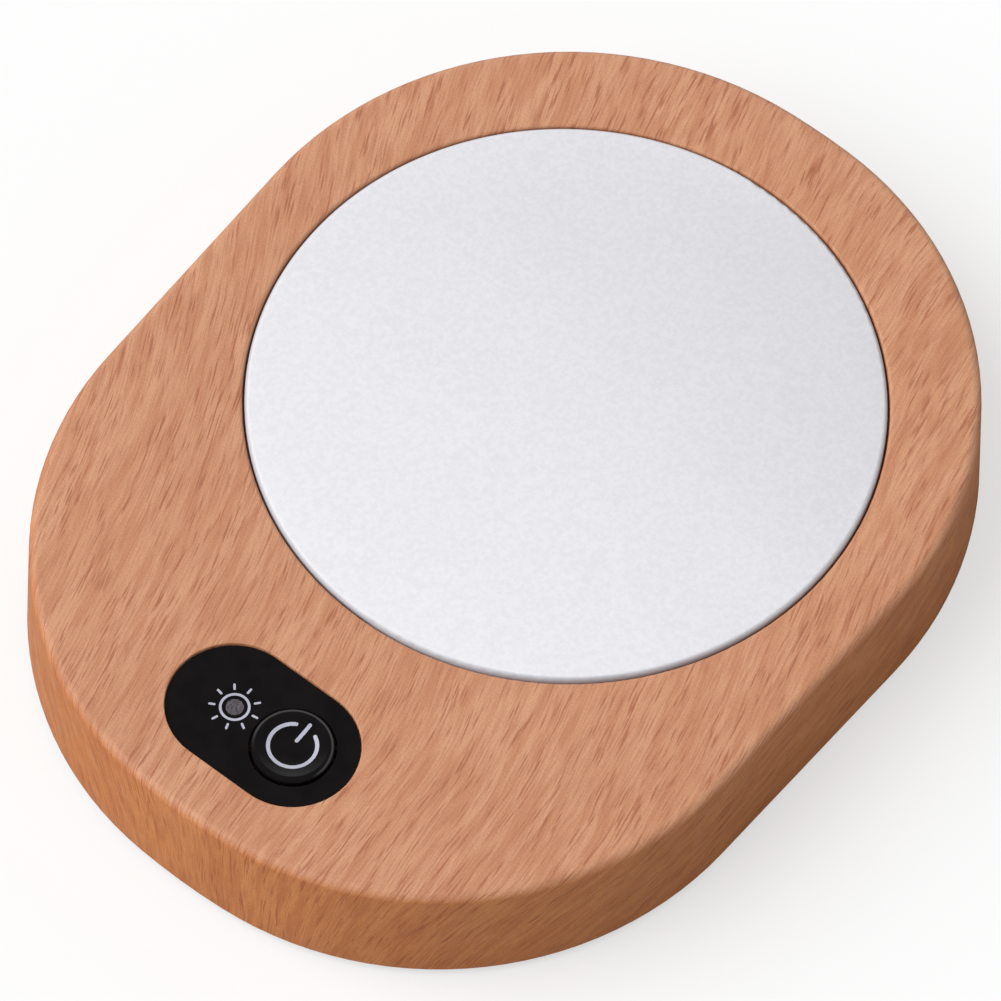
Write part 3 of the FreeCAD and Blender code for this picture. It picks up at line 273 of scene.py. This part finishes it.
# by slot: name, colour, roughness, size of the grain in mm, bump, metallic, mottle
mouldedLook = {
    "black_gloss_plastic": ("glossBlack", (15, 12, 13), 0.09, 0.6, 0.01, 0.0, 0.25),
    "black_base_plastic": ("baseBlack", (30, 29, 30), 0.62, 0.25, 0.4, 0.0, 0.06),
    "silicone_dark": ("sealBrown", (92, 56, 42), 0.75, 0.3, 0.2, 0.0, 0.06),
    "black_rubber": ("footRubber", (34, 33, 34), 0.85, 0.2, 0.5, 0.0, 0.06),
    "sheet_steel": ("plainSteel", (176, 176, 178), 0.32, 0.8, 0.1, 1.0, 0.06),
    "plated_steel": ("brightNickel", (205, 203, 200), 0.2, 0.5, 0.05, 1.0, 0.06),
    "mica": ("micaSheet", (176, 160, 128), 0.35, 0.8, 0.3, 0.0, 0.14),
    "ceramic_felt": ("fibreFelt", (226, 224, 214), 0.95, 0.3, 0.9, 0.0, 0.06),
    "heater_alloy": ("heaterAlloy", (140, 130, 120), 0.4, 0.4, 0.1, 1.0, 0.06),
    "circuit_board": ("boardGreen", (22, 92, 54), 0.3, 0.8, 0.1, 0.0, 0.06),
    "chip_epoxy": ("epoxyBlack", (32, 32, 34), 0.55, 0.3, 0.3, 0.0, 0.06),
    "connector_nylon": ("nylonCream", (228, 224, 208), 0.45, 0.4, 0.15, 0.0, 0.06),
    "contact_gilt": ("giltContact", (214, 176, 98), 0.25, 0.3, 0.05, 1.0, 0.06),
    "red_silicone_lead": ("leadRed", (172, 34, 26), 0.5, 0.4, 0.1, 0.0, 0.06),
    "black_silicone_lead": ("leadBlack", (28, 28, 29), 0.5, 0.4, 0.1, 0.0, 0.06),
    "white_lead": ("leadWhite", (222, 221, 216), 0.5, 0.4, 0.1, 0.0, 0.06),
    "adhesive_film": ("tapeFilm", (205, 202, 192), 0.7, 0.3, 0.3, 0.0, 0.06),
    "label_paper": ("labelStock", (226, 226, 222), 0.6, 0.15, 0.25, 0.0, 0.015),
}


def makeMoulded(name, rgb, roughness, grainSize, bump, metallic, mottle):
    sh = newShader(name)
    coords = sh.objectCoords()
    dark = [channel * (1 - mottle) for channel in rgb]
    pale = [min(255, channel * (1 + mottle)) for channel in rgb]
    blotch = sh.remap(sh.noise(coords, scale=blotchScale, detail=3.0), *noiseSpan)
    sh.link(sh.mix(blotch, colour(*dark), colour(*pale)), sh.main.inputs["Base Color"])
    grain = sh.noise(coords, scale=1 / grainSize)
    low, high = roughness * (1 - glossSwing), min(1.0, roughness * (1 + glossSwing))
    sh.link(sh.remap(grain, *noiseSpan, low, high), sh.main.inputs["Roughness"])
    sh.main.inputs["Metallic"].default_value = metallic
    sh.main.inputs["IOR"].default_value = plasticIor
    sh.bump(grain, bump, grainDepth)
    return sh.owner


# Plate: satin aluminium with a fine even sparkle and faint clouding, with painted shade a little
# darker to the back and on the rounded rim
plateLook = {
    "low": (230, 229, 234),
    "high": (252, 251, 255),
    # painted shade on the rounded rim
    "rim": (204, 207, 215),
    "rimShadeFrom": 0.65,  # how far in from the edge the painted rim shade begins, in mm
    "rimShadeFull": 0.1,
    "metallic": 0.1,
    "roughness": (0.36, 0.48),
    "sparkle": 1.6,
    "sparkleShare": 0.28,
    "clouding": 0.03,
    "cloudShare": 0.07,
    # painted shade: how much lighter the front is than the back
    "backShadeShare": 0.65,
    "bump": 0.1,
    "bumpDepth": 0.03 * mm,
}


def makePlateFinish():
    look = plateLook
    sh = newShader("satinAnodised")
    coords = sh.objectCoords()
    place = sh.split(coords)
    clouds = sh.remap(sh.noise(coords, scale=look["clouding"]), *tightSpan)
    grain = sh.noise(coords, scale=look["sparkle"], detail=3.0, roughness=0.7)
    sparkle = sh.remap(grain, *tightSpan)
    front, back = (plateY - plateRadius) / mm, (plateY + plateRadius) / mm
    # painted shade: the plate darker from the front to the back
    backShade = sh.remap(place[1], front, back, look["backShadeShare"], 0.0, smooth=False)
    clouded = sh.math("MULTIPLY", clouds, look["cloudShare"])
    shade = sh.math("ADD", clouded, sh.math("MULTIPLY", sparkle, look["sparkleShare"]))
    shade = sh.math("ADD", shade, backShade)
    face = sh.mix(shade, colour(*look["low"]), colour(*look["high"]))
    # the rounded rim, with painted shade: darker and bluer
    fromMiddle = sh.add("ShaderNodeVectorMath", operation="DISTANCE")
    sh.link(sh.combine(place[0], place[1]), fromMiddle.inputs[0])
    fromMiddle.inputs[1].default_value = (plateX / mm, plateY / mm, 0.0)
    edge = plateRadius / mm
    rim = sh.remap(fromMiddle.outputs["Value"], edge - look["rimShadeFrom"], edge - look["rimShadeFull"])
    sh.link(sh.mix(rim, face, colour(*look["rim"])), sh.main.inputs["Base Color"])
    sh.main.inputs["Metallic"].default_value = look["metallic"]
    sh.link(sh.remap(sparkle, 0.0, 1.0, *look["roughness"]), sh.main.inputs["Roughness"])
    sh.bump(sparkle, look["bump"], look["bumpDepth"])
    return sh.owner


# Lens over the light: milky, with a fine speck
lensLook = {
    "dark": (66, 62, 66),
    "pale": (108, 103, 106),
    "speck": 6.0,
    "roughness": 0.4,
    "bump": 0.1,
    "bumpDepth": 0.03 * mm,
}


def makeLens():
    look = lensLook
    sh = newShader("milkyLens")
    speck = sh.remap(sh.noise(sh.objectCoords(), scale=look["speck"]), *tightSpan)
    base = sh.mix(speck, colour(*look["dark"]), colour(*look["pale"]))
    sh.link(base, sh.main.inputs["Base Color"])
    sh.main.inputs["Roughness"].default_value = look["roughness"]
    sh.bump(speck, look["bump"], look["bumpDepth"])
    return sh.owner


print("stage: materials")
finishBySlot = {slotName: makeMoulded(*look) for slotName, look in mouldedLook.items()}
finishBySlot["wood_look_plastic"] = makeWood()
finishBySlot["satin_aluminium"] = makePlateFinish()
finishBySlot["milky_plastic"] = makeLens()
slotOf = {entry["node"]: entry["material_slot"] for entry in frame["record"]["subparts"]}
for name, slotName in slotOf.items():
    useMaterial(nodes[name], finishBySlot[slotName])


def newPiece(name, mesh, material):
    piece = bpy.data.objects.new(name, mesh)
    bpy.context.scene.collection.objects.link(piece)
    useMaterial(piece, material)
    return piece


# Printed body and plate: merged copies of the solids, shaded smoothly over their roundings
mergedLook = {"merge": 0.001 * mm, "sharpAngle": 30.0}
wallTest = {"steepness": 0.3, "facing": 0.7}


def mergedCopy(node, name, addMap=None):
    mesh = nodes[node].data.copy()
    mesh.name = name
    bm = bmesh.new()
    bm.from_mesh(mesh)
    bmesh.ops.remove_doubles(bm, verts=bm.verts, dist=mergedLook["merge"])
    if addMap:
        addMap(bm)
    bm.to_mesh(mesh)
    bm.free()
    mesh.polygons.foreach_set("use_smooth", [True] * len(mesh.polygons))
    mesh.set_sharp_from_angle(angle=math.radians(mergedLook["sharpAngle"]))
    return mesh


def wallDirection(vert):
    # mean of the outer faces round this corner, so that the inlet's slot doesn't bend the map
    # the outline's round ends have their middles at plateY and about as far forward
    middleY = min(max(vert.co.y, -plateY), plateY)
    away = Vector((vert.co.x, vert.co.y - middleY, 0)).normalized()
    total = Vector((0, 0, 0))
    for face in vert.link_faces:
        flat = Vector((face.normal.x, face.normal.y, 0))
        facing = flat.normalized().dot(away)
        if flat.length > wallTest["steepness"] and facing > wallTest["facing"]:
            total += flat * face.calc_area()
    if total.length > 0:
        return total.normalized()
    return Vector((vert.normal.x, vert.normal.y, 0)).normalized()


def addFilmMap(bm):
    # the side wall is unrolled outwards from the top
    bm.normal_update()
    uvLayer = bm.loops.layers.uv.new("filmMap")
    for vert in bm.verts:
        out = wallDirection(vert)
        depth = max(0.0, shellTop - vert.co.z)
        for loop in vert.link_loops:
            loop[uvLayer].uv = (vert.co.x + out.x * depth, vert.co.y + out.y * depth)


def makeBody():
    mesh = mergedCopy("top_shell", "wood_body", addFilmMap)
    body = newPiece("wood_body", mesh, finishBySlot["wood_look_plastic"])
    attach(body, "body")
    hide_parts("top_shell")


def makePlate():
    mesh = mergedCopy("heating_plate", "satin_plate")
    plate = newPiece("satin_plate", mesh, finishBySlot["satin_aluminium"])
    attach(plate, "body")
    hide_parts("heating_plate")


print("stage: wood body")
makeBody()

print("stage: plate")
makePlate()


def makeSnapDome():
    finish = finishBySlot[slotOf["switch_dome"]]
    dome = newPiece("snap_dome", nodes["switch_dome"].data.copy(), finish)
    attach(dome, "body")
    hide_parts("switch_dome")
    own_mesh(dome)


print("stage: snap dome")
makeSnapDome()


# Printed symbols: thin ink strokes laid on the panel and on the button's dish
ink = {"thickness": 0.03 * mm, "sink": 0.01 * mm, "merge": 0.0001 * mm}
printInk = makeMoulded("printInk", (190, 191, 206), 0.5, 0.2, 0.1, 0.0, 0.03)


def finishPiece(name, bm, material, bodyName):
    bmesh.ops.remove_doubles(bm, verts=bm.verts, dist=ink["merge"])
    bmesh.ops.recalc_face_normals(bm, faces=bm.faces)
    mesh = bpy.data.meshes.new(name)
    bm.to_mesh(mesh)
    bm.free()
    obj = newPiece(name, mesh, material)
    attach(obj, bodyName)


def onCircle(x, y, radius, angle):
    return (x + radius * math.cos(angle), y + radius * math.sin(angle))


def addPoints(bm, points, levelAt, rise):
    return [bm.verts.new((x, y, levelAt(x, y) + rise)) for x, y in points]


def addRibbon(bm, left, right, levelAt, closed):
    rings = []
    for a, b in zip(left, right):
        low = addPoints(bm, (a, b), levelAt, -ink["sink"])
        high = addPoints(bm, (b, a), levelAt, ink["thickness"])
        rings.append(low + high)
    count = len(rings)
    for i in range(count if closed else count - 1):
        one, two = rings[i], rings[(i + 1) % count]
        for j in range(4):
            bm.faces.new((one[j], one[(j + 1) % 4], two[(j + 1) % 4], two[j]))
    if not closed:
        bm.faces.new(rings[0])
        bm.faces.new(rings[-1][::-1])


def dot(bm, x, y, radius, levelAt, steps=16):
    rim = [onCircle(x, y, radius, 2 * math.pi * i / steps) for i in range(steps)]
    low = addPoints(bm, rim, levelAt, -ink["sink"])
    high = addPoints(bm, rim, levelAt, ink["thickness"])
    for i in range(steps):
        j = (i + 1) % steps
        bm.faces.new((low[i], low[j], high[j], high[i]))
    bm.faces.new(low[::-1])
    bm.faces.new(high)


def arcRibbon(bm, x, y, radius, width, start, end, levelAt, steps=64):
    closed = abs(end - start) >= 360
    count = steps if closed else steps + 1
    angles = [math.radians(start + (end - start) * i / steps) for i in range(count)]
    inner = [onCircle(x, y, radius - width / 2, a) for a in angles]
    outer = [onCircle(x, y, radius + width / 2, a) for a in angles]
    addRibbon(bm, inner, outer, levelAt, closed)
    if not closed:
        for a in (angles[0], angles[-1]):
            dot(bm, *onCircle(x, y, radius, a), width / 2, levelAt)


def bar(bm, x0, y0, x1, y1, width, levelAt, steps=12):
    along = Vector((x1 - x0, y1 - y0)).normalized()
    side = Vector((-along.y, along.x)) * width / 2
    points = [(x0 + (x1 - x0) * i / steps, y0 + (y1 - y0) * i / steps) for i in range(steps + 1)]
    left = [(x + side.x, y + side.y) for x, y in points]
    right = [(x - side.x, y - side.y) for x, y in points]
    addRibbon(bm, left, right, levelAt, False)
    dot(bm, x0, y0, width / 2, levelAt)
    dot(bm, x1, y1, width / 2, levelAt)


powerSymbol = {
    "radius": 3.28 * mm,
    "width": 0.53 * mm,
    "gapLeft": 30.5,  # degrees from the stroke to each end of the arc
    "gapRight": 27.0,
    "strokeFrom": 1.0 * mm,
    "strokeTo": 3.8 * mm,
    "strokeShift": -0.1 * mm,
}
dish = {"depth": 0.55 * mm, "radius": 4.85 * mm}


def dishLevel(x, y):
    ball = (dish["radius"] ** 2 + dish["depth"] ** 2) / (2 * dish["depth"])
    away = math.hypot(x - buttonX, y - buttonY)
    return buttonTop - dish["depth"] + ball - math.sqrt(ball**2 - away**2)


def makePowerSymbol():
    bm = bmesh.new()
    look = powerSymbol
    start, end = 90 + look["gapLeft"], 450 - look["gapRight"]
    arcRibbon(bm, buttonX, buttonY, look["radius"], look["width"], start, end, dishLevel)
    x = buttonX + look["strokeShift"]
    low, high = buttonY + look["strokeFrom"], buttonY + look["strokeTo"]
    bar(bm, x, low, x, high, look["width"], dishLevel)
    finishPiece("power_symbol", bm, printInk, "power_button")


sunSymbol = {
    "radius": 1.94 * mm,
    "width": 0.36 * mm,
    "rays": 9,
    "rayFrom": 2.76 * mm,
    "rayTo": 3.42 * mm,
    "rayWidth": 0.33 * mm,
    "raySides": 24,
    "merge": 0.0005 * mm,
}


def makeSunRing():
    bm = bmesh.new()
    look = sunSymbol
    arcRibbon(bm, lightX, lightY, look["radius"], look["width"], 0, 360, lambda x, y: panelTop)
    finishPiece("light_ring", bm, printInk, "body")


def buildRayTree():
    tree = bpy.data.node_groups.new("rayRing", "GeometryNodeTree")
    face = tree.interface
    face.new_socket("Geometry", in_out="INPUT", socket_type="NodeSocketGeometry")
    for name in ("Inner radius", "Outer radius", "Ray width", "Ink height"):
        face.new_socket(name, in_out="INPUT", socket_type="NodeSocketFloat")
    face.new_socket("Ray count", in_out="INPUT", socket_type="NodeSocketInt")
    face.new_socket("Centre", in_out="INPUT", socket_type="NodeSocketVector")
    face.new_socket("Finish", in_out="INPUT", socket_type="NodeSocketMaterial")
    face.new_socket("Geometry", in_out="OUTPUT", socket_type="NodeSocketGeometry")
    new = tree.nodes.new
    link = tree.links.new
    given = new("NodeGroupInput")
    result = new("NodeGroupOutput")

    def maths(operation, first, second):
        node = new("ShaderNodeMath")
        node.operation = operation
        for socket, value in zip(node.inputs, (first, second)):
            if isinstance(value, bpy.types.NodeSocket):
                link(value, socket)
            else:
                socket.default_value = value
        return node.outputs[0]

    circle = new("GeometryNodeMeshCircle")
    link(given.outputs["Ray count"], circle.inputs["Vertices"])
    both = maths("ADD", given.outputs["Inner radius"], given.outputs["Outer radius"])
    link(maths("MULTIPLY", both, 0.5), circle.inputs["Radius"])
    # one ray: a disc pulled apart along its length, raised and closed underneath
    disc = new("GeometryNodeMeshCircle")
    disc.fill_type = "NGON"
    disc.inputs["Vertices"].default_value = sunSymbol["raySides"]
    link(maths("MULTIPLY", given.outputs["Ray width"], 0.5), disc.inputs["Radius"])
    position = new("GeometryNodeInputPosition")
    axes = new("ShaderNodeSeparateXYZ")
    link(position.outputs[0], axes.inputs[0])
    length = maths("SUBTRACT", given.outputs["Outer radius"], given.outputs["Inner radius"])
    pull = maths("MULTIPLY", maths("SIGN", axes.outputs[0], 0.0), maths("MULTIPLY", length, 0.5))
    offset = new("ShaderNodeCombineXYZ")
    link(pull, offset.inputs[0])
    filled = new("GeometryNodeSetPosition")
    link(disc.outputs["Mesh"], filled.inputs["Geometry"])
    link(offset.outputs[0], filled.inputs["Offset"])
    raised = new("GeometryNodeExtrudeMesh")
    raised.inputs["Individual"].default_value = False
    link(filled.outputs["Geometry"], raised.inputs["Mesh"])
    link(given.outputs["Ink height"], raised.inputs["Offset Scale"])
    under = new("GeometryNodeFlipFaces")
    link(filled.outputs["Geometry"], under.inputs["Mesh"])
    joined = new("GeometryNodeJoinGeometry")
    link(raised.outputs["Mesh"], joined.inputs["Geometry"])
    link(under.outputs["Mesh"], joined.inputs["Geometry"])
    ray = new("GeometryNodeMergeByDistance")
    ray.inputs["Distance"].default_value = sunSymbol["merge"]
    link(joined.outputs["Geometry"], ray.inputs["Geometry"])
    align = new("FunctionNodeAlignRotationToVector")
    align.axis = "X"
    align.pivot_axis = "Z"
    link(position.outputs[0], align.inputs["Vector"])
    spread = new("GeometryNodeInstanceOnPoints")
    link(circle.outputs["Mesh"], spread.inputs["Points"])
    link(ray.outputs["Geometry"], spread.inputs["Instance"])
    link(align.outputs[0], spread.inputs["Rotation"])
    turn = new("GeometryNodeTransform")
    turn.inputs["Rotation"].default_value = (0, 0, math.radians(90))
    link(spread.outputs[0], turn.inputs["Geometry"])
    place = new("GeometryNodeTransform")
    link(turn.outputs[0], place.inputs["Geometry"])
    link(given.outputs["Centre"], place.inputs["Translation"])
    real = new("GeometryNodeRealizeInstances")
    link(place.outputs[0], real.inputs[0])
    finish = new("GeometryNodeSetMaterial")
    link(real.outputs[0], finish.inputs["Geometry"])
    link(given.outputs["Finish"], finish.inputs["Material"])
    link(finish.outputs[0], result.inputs["Geometry"])
    return tree


def plainMeshFrom(name, tree, values, material, bodyName):
    source = bpy.data.objects.new(name + "_source", bpy.data.meshes.new(name + "_source"))
    bpy.context.scene.collection.objects.link(source)
    modifier = source.modifiers.new("shape", "NODES")
    modifier.node_group = tree
    for item in tree.interface.items_tree:
        if item.in_out == "INPUT" and item.name in values:
            modifier[item.identifier] = values[item.name]
    source.update_tag()
    bpy.context.view_layer.update()
    graph = bpy.context.evaluated_depsgraph_get()
    mesh = bpy.data.meshes.new_from_object(source.evaluated_get(graph))
    bpy.data.objects.remove(source)
    mesh.name = name
    piece = newPiece(name, mesh, material)
    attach(piece, bodyName)


def makeSunRays():
    look = sunSymbol
    values = {
        "Ray count": look["rays"],
        "Inner radius": look["rayFrom"],
        "Outer radius": look["rayTo"],
        "Ray width": look["rayWidth"],
        "Ink height": ink["thickness"] + ink["sink"],
        "Centre": (lightX, lightY, panelTop - ink["sink"]),
        "Finish": printInk,
    }
    plainMeshFrom("light_rays", buildRayTree(), values, printInk, "body")


print("stage: printed symbols")
makePowerSymbol()
makeSunRing()
makeSunRays()


# Floor and light: glossy rays see a pale backdrop low at the back, and a darker room elsewhere
stageLook = {
    "floor": 0.39,
    "floorHalf": 4.0,
    "glow": 0.6,  # what the camera alone sees the floor give off
    "world": 0.4,
    "backdrop": 1.1,
    "backdropTop": 0.45,  # heights are the upward part of a ray's direction
    "backdropFrom": -0.2,  # the backward part of a ray's direction
    "backdropFull": 0.3,
    "room": 0.12,
    "roomFrom": 0.8,
    "white": 1.0,
    "key": 2.53,
    "keyTowards": (-0.80, -0.72, 1.19),
    "keySoftness": 60.0,
}


def makeFloor():
    look = stageLook
    half = look["floorHalf"]
    corners = [(-half, -half, 0), (half, -half, 0), (half, half, 0), (-half, half, 0)]
    mesh = bpy.data.meshes.new("floor")
    mesh.from_pydata(corners, [], [(0, 1, 2, 3)])
    floor = bpy.data.objects.new("floor", mesh)
    bpy.context.scene.collection.objects.link(floor)
    sh = newShader("paleFloor")
    sh.tree.nodes.remove(sh.main)
    diffuse = sh.add("ShaderNodeBsdfDiffuse")
    diffuse.inputs["Color"].default_value = (look["floor"],) * 3 + (1,)
    glow = sh.add("ShaderNodeEmission")
    path = sh.add("ShaderNodeLightPath")
    seen = sh.math("MULTIPLY", path.outputs["Is Camera Ray"], look["glow"])
    sh.link(seen, glow.inputs["Strength"])
    total = sh.add("ShaderNodeAddShader")
    sh.link(diffuse.outputs[0], total.inputs[0])
    sh.link(glow.outputs[0], total.inputs[1])
    sh.link(total.outputs[0], sh.tree.nodes["Material Output"].inputs["Surface"])
    mesh.materials.append(sh.owner)


def makeLight():
    look = stageLook
    world = bpy.data.worlds.new("softWorld")
    bpy.context.scene.world = world
    sh = Shader(world, "Background")
    sh.main.inputs["Color"].default_value = (1, 1, 1, 1)
    path = sh.add("ShaderNodeLightPath")
    coords = sh.add("ShaderNodeTexCoord")
    direction = sh.split(coords.outputs["Generated"])
    backdrop, room = look["backdrop"], look["room"]
    fall = sh.remap(direction[2], look["backdropTop"], look["roomFrom"], backdrop, room)
    behind = sh.remap(direction[1], look["backdropFrom"], look["backdropFull"])
    mirrored = sh.mixNumber(behind, room, fall)
    level = sh.mixNumber(path.outputs["Is Glossy Ray"], look["world"], mirrored)
    level = sh.mixNumber(path.outputs["Is Camera Ray"], level, look["white"])
    sh.link(level, sh.main.inputs["Strength"])
    lamp = bpy.data.lights.new("keyLight", "SUN")
    lamp.energy = look["key"]
    lamp.angle = math.radians(look["keySoftness"])
    key = bpy.data.objects.new("keyLight", lamp)
    key.rotation_euler = Vector(look["keyTowards"]).to_track_quat("Z", "Y").to_euler()
    key.visible_glossy = False
    bpy.context.scene.collection.objects.link(key)


# Camera: the photograph's viewpoint
viewpoint = {
    "azimuth": 37.35,
    "elevation": 59.8,
    "roll": 1.54,
    "distance": 1239.873 * mm,
    "target": (2.9882 * mm, -18.0435 * mm),  # from the plate's middle
    "focalPixels": 9168,
    "framePixels": 1001,
    "sensor": 36.0,
    "reach": 20.0,
}


def makeCamera():
    look = viewpoint
    azimuth, elevation = math.radians(look["azimuth"]), math.radians(look["elevation"])
    roll = math.radians(look["roll"])
    flat = math.cos(elevation)
    back = Vector((math.sin(azimuth) * flat, -math.cos(azimuth) * flat, math.sin(elevation)))
    level = Vector((math.cos(azimuth), math.sin(azimuth), 0))
    upright = back.cross(level)
    right = level * math.cos(roll) + upright * math.sin(roll)
    up = upright * math.cos(roll) - level * math.sin(roll)
    target = Vector((plateX + look["target"][0], plateY + look["target"][1], shellTop))
    data = bpy.data.cameras.new("camera")
    data.sensor_width = look["sensor"]
    data.lens = look["focalPixels"] / look["framePixels"] * look["sensor"]
    data.clip_end = look["reach"]
    camera = bpy.data.objects.new("camera", data)
    matrix = camera.matrix_world.copy()
    for i in range(3):
        matrix[i][0], matrix[i][1], matrix[i][2] = right[i], up[i], back[i]
    matrix.translation = target + back * look["distance"]
    camera.matrix_world = matrix
    bpy.context.scene.collection.objects.link(camera)
    bpy.context.scene.camera = camera


print("stage: floor, light and camera")
makeFloor()
makeLight()
makeCamera()
bpy.context.scene.view_settings.view_transform = "Standard"
